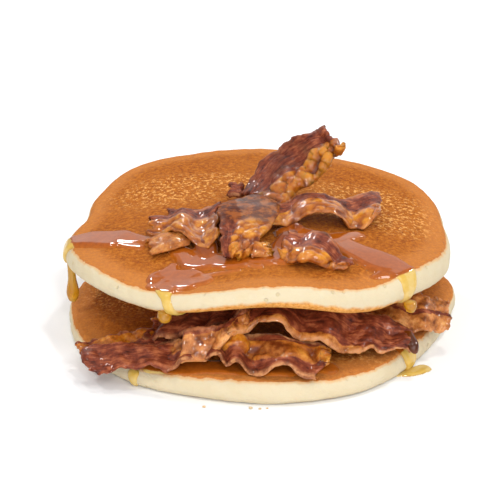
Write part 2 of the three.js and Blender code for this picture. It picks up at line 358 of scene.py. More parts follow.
def fried_bacon():
    """Dark red-brown lean and amber or tan fat under a coat of grease and syrup. The attribute kind holds
    how fat, burnt and amber a place is, its burnt share raised in sunken dents as painted shade; finish
    how wet it is and how near an edge, and lay its place along and across the rasher in millimetres,
    for the fibres."""
    paint = Paint("fried_bacon", Coat_Roughness=0.05, Coat_IOR=1.36)
    paint.set("Specular IOR Level", 0.12)
    paint.set("Subsurface Scale", 0.002)
    paint.set("Subsurface Radius", (1.0, 0.4, 0.1))
    fat, burnt, amber = paint.parts("kind")
    wet, rim, coated = paint.parts("finish")
    lay = paint.attribute("lay", "Vector")
    place = paint.place()

    blister_shade = paint.attribute("blister_shade")
    fibres = paint.noise(paint.scaled(lay, (0.2, 1.1, 1.0)), 1.0, 4, 0.55)
    blotch = paint.noise(place, 260, 4, 0.6)
    meat = paint.sum(paint.times(fibres, 0.45), paint.times(blotch, 0.55))
    lean = paint.ramp(
        meat,
        (0.36, (0.046, 0.008, 0.005)), (0.5, (0.185, 0.038, 0.017)), (0.64, (0.42, 0.132, 0.058)),
    )
    tan = paint.ramp(
        blotch,
        (0.36, (0.16, 0.042, 0.009)), (0.52, (0.47, 0.175, 0.047)), (0.7, (0.74, 0.38, 0.145)),
    )
    # Painted shade: the honey is lighter on top of the blisters and darker in the creases between them.
    clear = paint.sum(paint.times(blister_shade, 0.35), paint.times(blotch, 0.75))
    honey = paint.ramp(
        clear,
        (0.34, (0.13, 0.02, 0.001)), (0.55, (0.38, 0.105, 0.003)), (0.78, (0.72, 0.32, 0.022)),
    )
    rind = paint.mix(amber, tan, honey)
    border = paint.sum(fat, paint.times(paint.sum(meat, -0.5), 1.6))
    fatty = paint.step(border, 0.38, 0.62)
    colour = paint.mix(fatty, lean, rind)
    frill = paint.times(rim, paint.step(blotch, 0.42, 0.58, 0.3, 1.0))
    colour = paint.mix(frill, colour, (0.56, 0.27, 0.12))
    # The burnt share is char, plus painted shade in the sunken dents.
    char_with_dent_shade = paint.sum(burnt, paint.times(paint.sum(blotch, -0.5), 1.2))
    colour = paint.mix(paint.step(char_with_dent_shade, 0.3, 1.0), colour, (0.035, 0.012, 0.008))
    soaked = paint.mix(1.0, colour, (0.9, 0.72, 0.45), "MULTIPLY")
    colour = paint.mix(paint.times(wet, 0.5), colour, soaked)
    pooled = paint.mix(paint.step(blotch, 0.42, 0.58), (0.07, 0.011, 0.001), (0.26, 0.062, 0.003))
    colour = paint.mix(paint.times(coated, 0.9), colour, pooled)
    paint.set("Base Color", colour)
    paint.set("Roughness", paint.step(fibres, 0.3, 0.7, 0.4, 0.55))
    paint.set("Subsurface Weight", paint.times(fatty, 0.2))
    greasy = paint.sum(paint.times(fatty, 0.65), 0.35)
    greasy = paint.times(greasy, paint.step(wet, 0.2, 0.8))
    greasy = paint.sum(greasy, paint.times(coated, 0.45), "SUBTRACT")
    paint.set("Coat Weight", paint.sum(greasy, 0.0, "MAXIMUM"))

    dry = paint.sum(1.0, wet, "SUBTRACT")
    wrinkle = paint.noise(paint.scaled(lay, (0.5, 0.45, 1.0)), 1.0, 4, 0.6)
    pebbles = paint.noise(place, 700)
    relief = paint.sum(paint.times(fibres, 0.3), paint.times(wrinkle, 0.9))
    relief = paint.sum(relief, paint.times(pebbles, 0.5))
    paint.set("Normal", paint.bump(relief, 0.0012, paint.step(dry, 0.0, 1.0, 0.2, 0.8)))
    paint.set("Coat Normal", paint.bump(relief, 0.0007, paint.step(dry, 0.25, 1.0, 0.0, 0.8)))
    return paint.material


def thin_syrup():
    """A glossy film of amber syrup. What lies under it shows through, so its colour goes from orange-brown
    on a browned face to gold on a cream side, and darker where the film is deep. The attribute section_mm
    is the pancake's, and depth_mm is the film's thickness."""
    paint = Paint("thin_syrup", Roughness=0.03, IOR=1.47)
    place = paint.place()
    depth = paint.times(paint.attribute("depth_mm"), 0.2)
    mottle = paint.noise(place, 520, 5, 0.7)
    pale = paint.step(paint.past_edge(paint.attribute("section_mm"), place), 0.9, 1.5)
    on_brown = paint.ramp(
        depth,
        (0.0, (0.44, 0.12, 0.012)), (0.24, (0.36, 0.078, 0.005)), (0.5, (0.2, 0.038, 0.003)),
        (1.0, (0.09, 0.016, 0.002)),
    )
    on_brown = paint.mix(paint.step(mottle, 0.35, 0.65, 0.35, 0.0), on_brown, (0.16, 0.03, 0.002))
    # Painted shade: darker where the film thins out at its edge, like the dark line at a clear film's edge.
    on_cream = paint.ramp(
        depth,
        (0.02, (0.46, 0.25, 0.03)), (0.14, (0.6, 0.385, 0.077)), (0.25, (0.6, 0.37, 0.06)),
        (0.5, (0.62, 0.32, 0.05)), (1.0, (0.32, 0.11, 0.01)),
    )
    thin = paint.step(paint.noise(place, 210), 0.42, 0.62, 0.0, 0.5)
    on_cream = paint.mix(thin, on_cream, (0.65, 0.5, 0.215))
    paint.set("Base Color", paint.mix(pale, on_brown, on_cream))
    return paint.material


def drip_syrup():
    """The same syrup where it hangs free, golden all through."""
    paint = Paint("drip_syrup", Roughness=0.02, Transmission_Weight=0.5, IOR=1.45)
    depth = paint.times(paint.attribute("depth_mm"), 0.2)
    paint.set("Base Color", paint.ramp(depth, (0.1, (0.85, 0.58, 0.13)), (0.9, (0.62, 0.28, 0.012))))
    return paint.material


def shaded_dark_syrup():
    """Syrup run together over bacon, nearly black where it is deep. It is darker than the syrup
    elsewhere, partly as painted shade where it hangs under the upper pancake.
    """
    paint = Paint("shaded_dark_syrup", Roughness=0.03, IOR=1.47)
    depth = paint.times(paint.attribute("depth_mm"), 0.2)
    paint.set("Base Color", paint.ramp(depth, (0.2, (0.16, 0.034, 0.003)), (0.9, (0.05, 0.01, 0.001))))
    return paint.material


def pale_floor():
    paint = Paint("pale_floor", Roughness=0.9, Base_Color=(0.9, 0.9, 0.9, 1))
    paint.set("Specular IOR Level", 0.1)
    return paint.material


# ---- pancakes


def by_angle(changes, degrees):
    """The sum of bell-shaped changes round the rim."""
    off = [(np.mod(degrees - angle + 180, 360) - 180, reach, grow) for angle, reach, grow in changes]
    return sum(grow * bell(gap, reach) for gap, reach, grow in off)


class Pancake:
    """Its surface is a function of the angle and of section_mm: the length along its section outwards
    from the top edge, negative on the top face, 0 to SIDE_LENGTH down the side, more underneath."""

    def radius(self, angle):
        return PANCAKE_RADIUS + by_angle(self.outline, np.degrees(angle))

    def rim_thinning(self, x, y):
        away_x, away_y = x - self.centre[0], y - self.centre[1]
        degrees = np.degrees(np.arctan2(away_y, away_x))
        share = np.minimum(np.hypot(away_x, away_y) / PANCAKE_RADIUS, 1) ** RIM_POWER
        return share, by_angle(self.thinning, degrees)

    def section(self, length):
        """Inset from the rim and share of the thickness. Above and below the widest line the section is
        a quarter of an ellipse, turned evenly with the length; beyond it runs flat."""
        above = np.clip(length / SIDE_ABOVE, 0, 1) * math.pi / 2
        below = np.clip((length - SIDE_ABOVE) / SIDE_BELOW, 0, 1) * math.pi / 2
        inset = TOP_INSET * (1 - np.sin(above)) + FOOT_INSET * (1 - np.cos(below))
        inset = inset + np.maximum(-length, 0) + np.maximum(length - SIDE_LENGTH, 0)
        share = WIDEST + (1 - WIDEST) * np.cos(above) - WIDEST * np.sin(below)
        return inset, share

    def plain(self, angle, length):
        """The surface before its relief."""
        inset, share = self.section(length)
        reach = np.maximum(self.radius(angle) - inset, 0)
        x = self.centre[0] + reach * np.cos(angle)
        y = self.centre[1] + reach * np.sin(angle)
        low, high = self.underside(x, y), self.top(x, y)
        return flat(x, y, low + (high - low) * share)

    def normal(self, angle, length):
        """Outward direction, from the slopes of the plain surface."""
        turn, step = 0.004, 0.25
        along = self.plain(angle + turn, length) - self.plain(angle - turn, length)
        down = self.plain(angle, length + step) - self.plain(angle, length - step)
        out = unit(np.cross(down, along))
        upright = np.where(length < 0, 1.0, -1.0)[..., None] * np.array([0.0, 0.0, 1.0])
        return np.where(np.linalg.norm(out, axis=-1, keepdims=True) < 0.5, upright, out)

    def relief(self, points, length):
        """Height of the soft swells, dimples and pores, in millimetres."""
        side = smoothstep(0.2, 1.5, length) * (1 - smoothstep(SIDE_LENGTH - 2, SIDE_LENGTH, length))
        face = 0.28 * noise(points, 17, self.seed) + 0.12 * layered(points, 5, self.seed + 3, 2)
        flank = 0.3 * noise(points, 11, self.seed + 6) + 0.14 * layered(points, 3.4, self.seed + 8, 2)
        under = smoothstep(SIDE_LENGTH - 0.5, SIDE_LENGTH + 1, length)
        return (face * (1 - side) + flank * side) * (1 - under)

    def wrapped(self, angle, length):
        """How far past the top edge the browning reaches, faded out towards the foot."""
        return by_angle(self.wrap, np.degrees(angle)) * (1 - smoothstep(3, 7, length))

    def level(self, angle, length):
        """Points and outward directions without the relief, for the syrup that fills it."""
        return self.plain(angle, length), self.normal(angle, length)

    def unrolled(self, x, y):
        """Angle and section length of a place on the flat map where the side is unrolled outwards."""
        angle = np.arctan2(y - self.centre[1], x - self.centre[0])
        away = np.hypot(x - self.centre[0], y - self.centre[1])
        return angle, away - (self.radius(angle) - TOP_INSET)

    def build(self, paint):
        columns, face_rows, side_rows, under_rows = 620, 64, 44, 12
        angle = np.linspace(0, 2 * math.pi, columns, endpoint=False)[None, :]
        face = self.radius(angle) - TOP_INSET
        under = self.radius(angle) - FOOT_INSET
        share = np.linspace(1, 0, face_rows, endpoint=False)[:, None]
        beyond = np.linspace(0, 1, under_rows + 1)[1:, None]
        side = np.linspace(0, SIDE_LENGTH, side_rows + 1)[:, None] + 0 * angle
        length = np.concatenate([-face * share, side, SIDE_LENGTH + under * beyond])
        angles, length = np.broadcast_arrays(angle, length)
        points, out = self.level(angles, length)
        points = points + out * self.relief(points, length)[..., None]
        points[..., 2] = np.maximum(points[..., 2], self.lowest)
        values = {
            "section_mm": np.clip(length - self.wrapped(angle, length), -40, SIDE_LENGTH + 5),
            "speckle": self.speckle(points),
            "foot_mm": by_angle(self.browning, np.degrees(angle)) + self.least_browning + 0 * length,
        }
        piece = skin(self.name + "_baked", points, pole_ids(*length.shape), values, paint)
        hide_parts(self.name)
        return piece

    def speckle(self, points):
        """How strongly a place shows paler specks: strongest in a few soft patches."""
        x, y = points[..., 0], points[..., 1]
        away = [np.hypot((x - px) / wide, (y - py) / deep) for px, py, wide, deep in self.patches]
        return smoothstep(0.25, 1, sum(bell(gap, 1) for gap in away))


class LowerPancake(Pancake):
    name = "pancake_lower"
    seed = 5
    centre = (0, 0)
    lowest = 0.0
    outline = [(334, 20, -6), (255, 16, -2), (22, 12, 5.5), (163, 12, 2.5)]  # angle, reach, growth
    thinning = [(226, 22, 3.2), (318, 24, 3), (180, 25, 1.4)]
    rim_drop = 1.2
    browning = [(180, 60, 1.0)]  # angle, reach, height up the side
    least_browning = 0.5
    wrap = [(8, 26, 3.0), (175, 34, 2.6), (90, 50, 1.5)]
    patches = [(46, -44, 20, 8), (-50, 10, 16, 20), (20, 20, 30, 30)]

    def top(self, x, y):
        share, thinning = self.rim_thinning(x, y)
        return THICKNESS - (self.rim_drop + thinning) * share

    def underside(self, x, y):
        return np.zeros_like(x)


class UpperPancake(Pancake):
    name = "pancake_upper"
    seed = 21
    centre = (-2, 8)
    lowest = 20.0
    outline = [(168, 8, -4), (128, 14, 3.6), (94, 16, 3.6), (38, 14, 8)]
    thinning = [(222, 34, 3), (275, 22, 1.6)]
    sags = [(-34, -52, 19, 5), (34, -50, 15, 4.2), (68, 2, 20, 2), (-50, 56, 16, -2.5)]  # x, y, reach, depth
    browning = [(270, 26, 3.0), (302, 16, 1.2), (60, 80, 1.2)]
    least_browning = 1.4
    wrap = [(15, 22, 1.2), (165, 24, 1.2), (90, 50, 1.5)]
    patches = [(-36, 30, 20, 12), (-8, 42, 18, 6), (36, 32, 15, 8), (52, 12, 10, 14), (30, 14, 14, 10)]

    def top(self, x, y):
        sag = sum(depth * bell(np.hypot(x - sx, y - sy), reach) for sx, sy, reach, depth in self.sags)
        return CREST_HEIGHT - SIDE_DROOP * (np.abs(x) / PANCAKE_RADIUS) ** DROOP_POWER - sag

    def underside(self, x, y):
        share, thinning = self.rim_thinning(x, y)
        return self.top(x, y) - THICKNESS + thinning * share


lower = LowerPancake()
upper = UpperPancake()


# ---- bacon


def curve(points, share):
    """A centripetal Catmull-Rom curve: equal steps of share for each stretch between points."""
    points = np.array(points, float)
    padded = np.concatenate([[2 * points[0] - points[1]], points, [2 * points[-1] - points[-2]]])
    place = np.clip(share, 0, 1) * (len(points) - 1)
    start = np.minimum(place.astype(int), len(points) - 2)
    t = (place - start)[..., None]
    before, here, there, after = (padded[start + k] for k in range(4))
    pairs = ((before, here), (here, there), (there, after))
    gaps = [np.linalg.norm(b - a, axis=-1, keepdims=True) ** 0.5 for a, b in pairs]
    leave = (here - before) / gaps[0] - (there - before) / (gaps[0] + gaps[1]) + (there - here) / gaps[1]
    arrive = (there - here) / gaps[1] - (after - here) / (gaps[1] + gaps[2]) + (after - there) / gaps[2]
    leave, arrive = leave * gaps[1], arrive * gaps[1]
    bend = -3 * here + 3 * there - 2 * leave - arrive
    twist = 2 * here - 2 * there + leave + arrive
    return here + leave * t + bend * t**2 + twist * t**3


LEAST_ROWS = 40
ROW_STEP = 0.42  # millimetres between the rows of a rasher's grid
END_CROWDING = 0.27  # share by which the rows lie closer at both ends

# A rasher's looks unless its entry says otherwise. Shares run from 0 to 1, lengths are in millimetres:
# bands of fat, charring, amber in the fat; how high its ruffles, dents, ragged edges, torn ends and
# blisters are, and how wide a blister; wetness, and more of it on the fat; the share under thick syrup;
# paleness of the edges; thickness; the share that is flat and all lean.
USUAL_LOOKS = dict(
    bands=[(0.62, 1.2)], burnt=0.0, amber=0.6, ruffle=0.9, dent=0.8, ragged=1.3, torn=2.0, puff=0.7,
    blister=4.5, wet=0.25, glassy=0.2, soaked=(2, 3), rim=0.5, thick=1.8, plain=-1,
)


class Rasher:
    """A strip of bacon between its lean edge (v = 0) and its fat edge (v = 1); u runs along it."""

    def __init__(self, name, floor, lean, fat, waves, seed, **looks):
        self.name = name
        self.floor = floor
        self.lean, self.fat = self.raised(lean), self.raised(fat)
        self.waves = waves
        self.seed = seed
        self.looks = {**USUAL_LOOKS, **looks}
        ends = np.linspace(0, 1, 40)
        middle = self.base(ends, np.full(40, 0.5))
        self.length = np.linalg.norm(np.diff(middle, axis=0), axis=1).sum()
        self.width = np.linalg.norm(self.across(ends), axis=1).mean()

    def raised(self, points):
        return [(x, y, self.floor.top(np.float64(x), np.float64(y)) + rise) for x, y, rise in points]

    def base(self, u, v):
        v = np.asarray(v)[..., None]
        return curve(self.lean, u) * (1 - v) + curve(self.fat, u) * v

    def across(self, u):
        return curve(self.fat, u) - curve(self.lean, u)

    def lay(self, u, v):
        """Place on the strip laid flat, in millimetres."""
        return flat(u * self.length, v * self.width, 0.0)

    def up(self, u, v):
        along = self.base(u + 0.01, v) - self.base(u - 0.01, v)
        out = unit(np.cross(along, self.across(u)))
        return out * np.sign(out[..., 2:])

    def middle(self, u, v):
        """The strip's middle surface: waves whose ridges wander, swell and fade, dents, ruffles that grow
        towards both edges, and ragged edges and ends. It is held clear of the pancake below it."""
        count, lean, fat, phase = self.waves
        spread = self.lay(u, v)
        run = flat(u * self.length, 0.0, 0.0)
        frayed = layered(flat(v * self.width, 0.0, 0.0), 4.5, self.seed, 3)
        ends = smoothstep(0.75, 1, u) - smoothstep(0.75, 1, 1 - u)
        u = u + self.looks["torn"] / self.length * frayed * ends
        ridge = 2 * math.pi * count * u + phase + 1.1 * noise(spread, 14, self.seed + 2)
        swell = 1 + 0.5 * noise(run, 17, self.seed + 5)
        swell = swell * (0.3 + 0.7 * self.past_plain(u))
        wave = (lean * (1 - v) + fat * v) * swell * np.sin(ridge)
        edge = np.abs(2 * v - 1) ** 3
        ruffle = self.looks["ruffle"] * edge * layered(spread, 5.5, self.seed + 4)
        dent = self.looks["dent"] * layered(spread, 9, self.seed + 7, 4)
        inward = unit(self.across(u))
        ragged = layered(flat(u * self.length, v * 4, 0.0), 5, self.seed + 9, 4)
        sway = self.looks["ragged"] * np.sign(v - 0.5) * edge * ragged
        rise = wave + (ruffle + dent) * (1 - 0.75 * self.coating(u))
        points = self.base(u, v) + self.up(u, v) * rise[..., None] + inward * sway[..., None]
        lowest = self.floor.top(points[..., 0], points[..., 1]) + 1.0
        points[..., 2] = np.maximum(points[..., 2], lowest + 0.3 * dent)
        return points

    def thickness(self, u, v):
        """Rounded off to nothing along both edges and both ends, with blisters where there is fat."""
        lay = self.lay(u, v)
        sides = np.sqrt(np.clip(1 - np.abs(2 * v - 1) ** 5, 0, 1))
        ends = np.sqrt(np.clip(1 - np.abs(2 * u - 1) ** 40, 0, 1))
        dry = 1 - self.coating(u)
        blister = bubbles(lay, self.looks["blister"], self.seed + 11)
        blister = self.looks["puff"] * self.fatness(u, v) * blister
        body = self.looks["thick"] * (1 + 0.25 * dry * layered(lay, 6, self.seed + 13))
        return (body + 2 * dry * blister) * sides * ends

    def blister_shade(self, u, v):
        """How far out a place stands on its blister: 0.5 all over where the fat has not puffed up. It sets
        painted shade, the fat lighter on the blisters' tops and darker between them.
        """
        tall = bubbles(self.lay(u, v), self.looks["blister"], self.seed + 11)
        return 0.5 + (tall - 0.5) * min(self.looks["puff"], 1)

    def fatness(self, u, v):
        """1 in the bands of fat and 0 in the lean, with wandering borders."""
        drift = 0.13 * layered(flat(u * self.length, self.seed * 3.0, 0.0), 16, self.seed + 15)
        total = 0
        for low, high in self.looks["bands"]:
            begun = smoothstep(low - 0.06, low + 0.06, v + drift)
            total = total + begun * (1 - smoothstep(high - 0.06, high + 0.06, v + drift))
        return np.clip(total, 0, 1) * self.past_plain(u)

    def past_plain(self, u):
        """0 on the first share of the length, which is flat and all lean, and 1 past it."""
        return smoothstep(self.looks["plain"] - 0.06, self.looks["plain"] + 0.06, u)

    def coating(self, u):
        """1 between the two shares of the length that soaked holds, where syrup lies thick."""
        begin, end = self.looks["soaked"]
        return smoothstep(begin - 0.08, begin + 0.08, u) * (1 - smoothstep(end - 0.08, end + 0.08, u))

    def wetness(self, u, v):
        """How smooth and glossy syrup and grease make a place, from 0 to 1."""
        wet = self.looks["wet"] + self.looks["glassy"] * self.fatness(u, v)
        return np.clip(wet + (1 - wet) * self.coating(u), 0, 1)

    def normal(self, u, v):
        along = self.middle(u + 0.004, v) - self.middle(u - 0.004, v)
        inward = self.middle(u, v + 0.02) - self.middle(u, v - 0.02)
        out = unit(np.cross(along, inward))
        return out * np.where(np.einsum("...i,...i", out, self.up(u, v)) < 0, -1, 1)[..., None]

    def kind(self, u, v):
        """How fat, burnt and amber each place is; sunken dents get more burnt, as painted shade."""
        tips = np.abs(2 * u - 1) ** 8
        # Painted shade: sunken dents get more of the burnt share, so they come out darker.
        dent_shade = 0.3 * layered(self.lay(u, v), 9, self.seed + 7, 4)
        char_and_dent_shade = self.looks["burnt"] + 0.12 * tips - dent_shade
        amber = self.looks["amber"] + 0.3 * noise(self.lay(u, v), 9, self.seed + 19)
        return flat(self.fatness(u, v), np.clip(char_and_dent_shade, 0, 1), np.clip(amber, 0, 1))

    def finish(self, u, v):
        """How wet each place is, how near the edge (most along both long edges, 0 from 1.7 mm in), and
        whether syrup hides the meat."""
        inset = np.minimum(v, 1 - v) * self.width
        rim = self.looks["rim"] * (1 - smoothstep(0.4, 1.7, inset)) * self.past_plain(u)
        return flat(self.wetness(u, v), rim, self.coating(u))

    def build(self, paint):
        """The loop round the strip runs over its upper face and back under it. Both edges and both ends
        come to nothing, so upper and lower points meet there and are one vertex."""
        half = 44
        steps = max(LEAST_ROWS, int(self.length / ROW_STEP))
        turn = np.linspace(0, 2 * math.pi, 2 * half, endpoint=False)[None, :]
        v = (1 - np.cos(turn)) / 2
        run = np.linspace(0, 1, steps)[:, None]
        u = run - END_CROWDING * np.sin(2 * math.pi * run) / (2 * math.pi)
        u, v = np.broadcast_arrays(u, v)
        side = np.where(turn < math.pi, 0.5, -0.5)
        points = self.middle(u, v) + self.normal(u, v) * (side * self.thickness(u, v))[..., None]
        ids = np.arange(u.size).reshape(u.shape)
        mirror = (-np.arange(2 * half)) % (2 * half)
        for row in (0, -1):
            ids[row] = np.minimum(ids[row], ids[row][mirror])
        values = {
            "kind": self.kind(u, v),
            "finish": self.finish(u, v),
            "lay": self.lay(u, v) + flat(0.0, 0.0, 20.0 * self.seed),
            "blister_shade": self.blister_shade(u, v),
        }
        piece = skin(self.name + "_fried", points, ids, values, paint)
        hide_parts(self.name)
        return piece


RASHERS = []


def rasher(name, floor, **entry):
    RASHERS.append(Rasher(name, floor, seed=len(RASHERS) + 1, **entry))


# Each rasher's edges as points (x, y, height above the pancake it lies on), and its waves: how many,
# their height at the lean and at the fat edge, and where they start. First the filling.
rasher(
    "bacon_back", lower,
    lean=[(-52, 22, 1.4), (-20, 32, 9), (12, 36, 11), (48, 40, 1.4)],
    fat=[(-46, 44, 2.4), (-18, 54, 14), (14, 60, 17), (44, 62, 2.4)],
    waves=(5, 1, 2.2, 0.4), bands=[(0.55, 0.8)],
)
rasher(
    "bacon_left_tip", lower,
    lean=[(-62, -47, 1.8), (-48, -46, 2.6), (-34, -46, 4), (-10, -34, 8), (22, -2, 9)],
    fat=[(-65, -39, 3.8), (-51, -37, 4.6), (-36, -35, 6), (-14, -14, 11), (12, 18, 13)],
    waves=(5.5, 0.5, 0.6, 1.1), bands=[(0.4, 0.9)], amber=0.8, puff=0.1, wet=0.4,
)
rasher(
    "bacon_right_tip", lower,
    lean=[(66, -26, 2.2), (54, -32, 3), (38, -30, 5), (14, -14, 14), (-14, 16, 13)],
    fat=[(66, -17, 8.6), (54, -16, 10.8), (42, -8, 12), (26, 6, 17), (0, 34, 15)],
    waves=(5, 0.8, 1, 2.2), bands=[(-0.2, 0.45), (0.55, 1.2)], amber=0.1,
    burnt=-0.4, puff=0.1, dent=0.6, wet=0.4,
)
rasher(
    "bacon_front", lower,
    lean=[
        (-60, -57, 2.6), (-46, -58, 3.4), (-30, -61, 4), (-16, -61.5, 6), (-6, -64.5, 3.5), (20, -66, 3.5),
    ],
    fat=[(-62, -46, 6), (-45, -47, 6.5), (-31, -50, 6.5), (-17, -50, 6.5), (-5, -50, 9), (21, -52.5, 7.5)],
    waves=(7, 2, 1.3, 0.2), bands=[(0.4, 0.85)], puff=3, amber=0.65, torn=2.5,
    wet=0.75, blister=7, rim=0.9, glassy=0.5, ruffle=1.4, plain=0.4, ragged=1.8, burnt=-0.15,
)
rasher(
    "bacon_inner", lower,
    lean=[(-41, -44, 6), (-30, -46, 7), (-18, -46, 9), (-4, -38, 13)],
    fat=[(-38, -32, 7), (-26, -30, 11), (-14, -30, 14), (0, -24, 17)],
    waves=(4, 1, 1.4, 2.6), bands=[(0.8, 1.2)], burnt=0.15, wet=0.6,
)
rasher(
    "bacon_right", lower,
    lean=[(-11, -57, 10.5), (-1, -52, 14), (13, -54, 9.8), (28, -53, 5.4), (38, -50, 5), (50, -46, 3.5)],
    fat=[(-4, -36, 18), (6, -34, 19), (18, -34, 17), (30, -36, 14), (40, -36, 11), (51, -36, 7)],
    waves=(4, 2, 0.8, 1.6), bands=[(-0.2, 0.1)], amber=0.3, rim=0.9, wet=0.8,
    ruffle=1.1, burnt=-0.35, dent=2,
)
rasher(
    "bacon_curl", lower,
    lean=[(-28, -58, 4.5), (-20, -59.5, 5), (-13, -58, 9), (-6, -53, 13), (-5, -45, 14)],
    fat=[(-26.5, -54, 13.5), (-18, -54.5, 14), (-12, -53, 15.5), (-7, -49, 17.5), (-8, -42, 18)],
    waves=(2.5, 0.9, 0.9, 0.5), bands=[(-0.2, 0.75)], amber=0.1, burnt=-0.4, torn=0.6,
    rim=0.3, dent=1.3, puff=0.5, wet=0.7, ruffle=1.2,
)

# The topping
rasher(
    "topping_dark_slab", upper,
    lean=[(-35, 9, 1.6), (-26, 7, 1.8), (-13, 5, 3.5)],
    fat=[(-35, -3, 1.6), (-26, -5, 1.8), (-13, -8, 3)],
    waves=(1, 0.4, 0.4, 0), bands=[], burnt=0.35, ragged=0.7, dent=0.4, rim=0.2,
)
rasher(
    "topping_tan_slab", upper,
    lean=[(-41, -16, 1.5), (-33, -15, 2.6), (-26, -14, 3.6)],
    fat=[(-40, -28, 1.5), (-33, -26, 1.8), (-24, -23, 2.6)],
    waves=(1, 0.3, 0.3, 0), bands=[(-0.2, 1.2)], amber=0.45, ruffle=0.3, puff=0.1,
    dent=0.4, ragged=0.8, rim=0.2, burnt=-0.3,
)
rasher(
    "topping_left_fold", upper,
    lean=[(-40, -3, 3), (-32, -1, 5), (-24, -1, 5.5), (-15, -2, 7)],
    fat=[(-41, -13, 2), (-32, -17, 4.5), (-23, -27, 3), (-15, -26, 5.5)],
    waves=(1.8, 1.2, 1.6, 2), bands=[(0.3, 1.2)], burnt=0.2, wet=0.65, amber=0.9,
    ragged=1.8, thick=1.3, puff=0.6, blister=4, rim=0.35,
)
rasher(
    "topping_right_wave", upper,
    lean=[(5, 2, 5), (14, 8, 8), (24, 9, 5.5), (33, 14, 6.5), (43, 22, 4)],
    fat=[(0, -17, 3), (12, -9, 5), (24, -7, 4), (34, -7, 1.8), (42, 4, 3)],
    waves=(2, 1, 2.4, 2.2), bands=[(0.5, 1.2)], amber=0.95, wet=0.55, glassy=0.5,
    ruffle=0.6, dent=1, thick=1.3, puff=0.6, blister=4,
)
rasher(
    "topping_front_chunk", upper,
    lean=[(9, -27, 5), (17, -26, 7), (25, -31, 5), (31, -36, 1.6)],
    fat=[(4, -36, 3.4), (10, -43, 3), (19, -42, 2.6), (29, -40, 1.6)],
    waves=(2, 1, 1.6, 1.4), bands=[(0.55, 1.2)], amber=1, puff=1.6, wet=0.75,
    rim=0.3, glassy=0.4,
)
rasher(
    "topping_amber_bit", upper,
    lean=[(-5, -30, 4), (1, -31, 4)],
    fat=[(-4, -38, 2), (3, -37, 2)],
    waves=(1, 0.5, 0.5, 0), bands=[(-0.2, 1.2)], amber=1, wet=0.9,
)
rasher(
    "topping_small_curl", upper,
    lean=[(-12, 24, 6), (-8, 23, 6)],
    fat=[(-13, 15, 3), (-7, 14, 4)],
    waves=(1, 0.5, 0.5, 0), bands=[],
)
rasher(
    "topping_leaning", upper,
    lean=[(-9, 16, 4), (2, 29, 15), (12, 27, 22), (22, 25, 28)],
    fat=[(5, 0, 4), (13, 9, 8), (23, 14, 15), (29, 15, 23)],
    waves=(3, 0.4, 0.9, 0.6), bands=[(0.6, 1.2)], amber=1, puff=2.6, blister=5.2,
    dent=1.3, wet=0.65, rim=0.1, ragged=1.6, glassy=0.75, burnt=0.4,
)
rasher(
    "topping_fold", upper,
    lean=[(-16, -1, 6), (-15.5, -13, 9.5), (-15, -27, 8), (-14, -37, 3)],
    fat=[(-1, 8, 7), (6, -8, 7.5), (1, -26, 6), (-6, -38.5, 2.5)],
    waves=(1.5, 0.2, 0.2, 0), bands=[(0.35, 1.2)], amber=1, wet=0.5,
    soaked=(-1, 0.58), dent=1, rim=0.2, glassy=0.3, puff=1.2, ruffle=0.4, ragged=1,
    blister=5,
)


# ---- syrup


def inside(strokes, x, y, seed):
    """How far inside a patch of strokes a place lies, in millimetres, and how tall the syrup may stand.
    A stroke is a line of points (x, y, half width, height); the patch is the union of its stretches, and
    noise makes its border uneven."""
    depth = np.full(x.shape, -99.0)
    height = np.zeros(x.shape)
    for stroke in strokes:
        for start, end in zip(stroke[:-1], stroke[1:]):
            (ax, ay, a_half, a_tall), (bx, by, b_half, b_tall) = start, end
            span = (bx - ax) ** 2 + (by - ay) ** 2
            t = np.clip(((x - ax) * (bx - ax) + (y - ay) * (by - ay)) / max(span, 1e-9), 0, 1)
            gap = np.hypot(x - ax - t * (bx - ax), y - ay - t * (by - ay))
            within = a_half + t * (b_half - a_half) - gap
            share = 1 / (1 + np.exp(np.clip(-2.5 * (within - depth), -50, 50)))
            height = height + (a_tall + t * (b_tall - a_tall) - height) * share
            depth = np.maximum(depth, within)
    place = flat(x, y, 0.0)
    return depth + 0.7 * noise(place, 7, seed) + 0.35 * noise(place, 2.8, seed + 1), height


# Of a film, in millimetres: its grid's spacing, the width of its banks, and how far its edge and its
# underside lie sunk in what is under it.
GRID_STEP = 0.4
BANK_WIDTH = 1.9
PUDDLE_BANK_WIDTH = 1.6
EDGE_SUNK = 0.5
UNDER_SUNK = 0.8


def film(name, surface, section, x, y, strokes, seed, paint):
    """Syrup on a surface: it stands up from its border along a quarter of an ellipse, to its full
    height BANK_WIDTH further in, and dips into the surface just outside the border."""
    depth, height = inside(strokes, x, y, seed)
    rise = np.clip(depth / BANK_WIDTH, 0, 1)
    rise = height * np.sqrt(1 - (1 - rise) ** 2) + np.minimum(depth, 0) * 0.6
    rise = rise * (1 + 0.12 * noise(flat(x, y, 0.0), 8, seed + 2))
    points, out = surface
    top = points + out * np.maximum(rise, -EDGE_SUNK)[..., None]
    bottom = points - out * UNDER_SUNK
    wet = rise > -EDGE_SUNK
    keep = wet[:-1, :-1] | wet[1:, :-1] | wet[1:, 1:] | wet[:-1, 1:]
    values = {"depth_mm": np.maximum(rise, 0), "section_mm": section}
    piece = shell(name, top, bottom, keep, values, paint)
    return piece


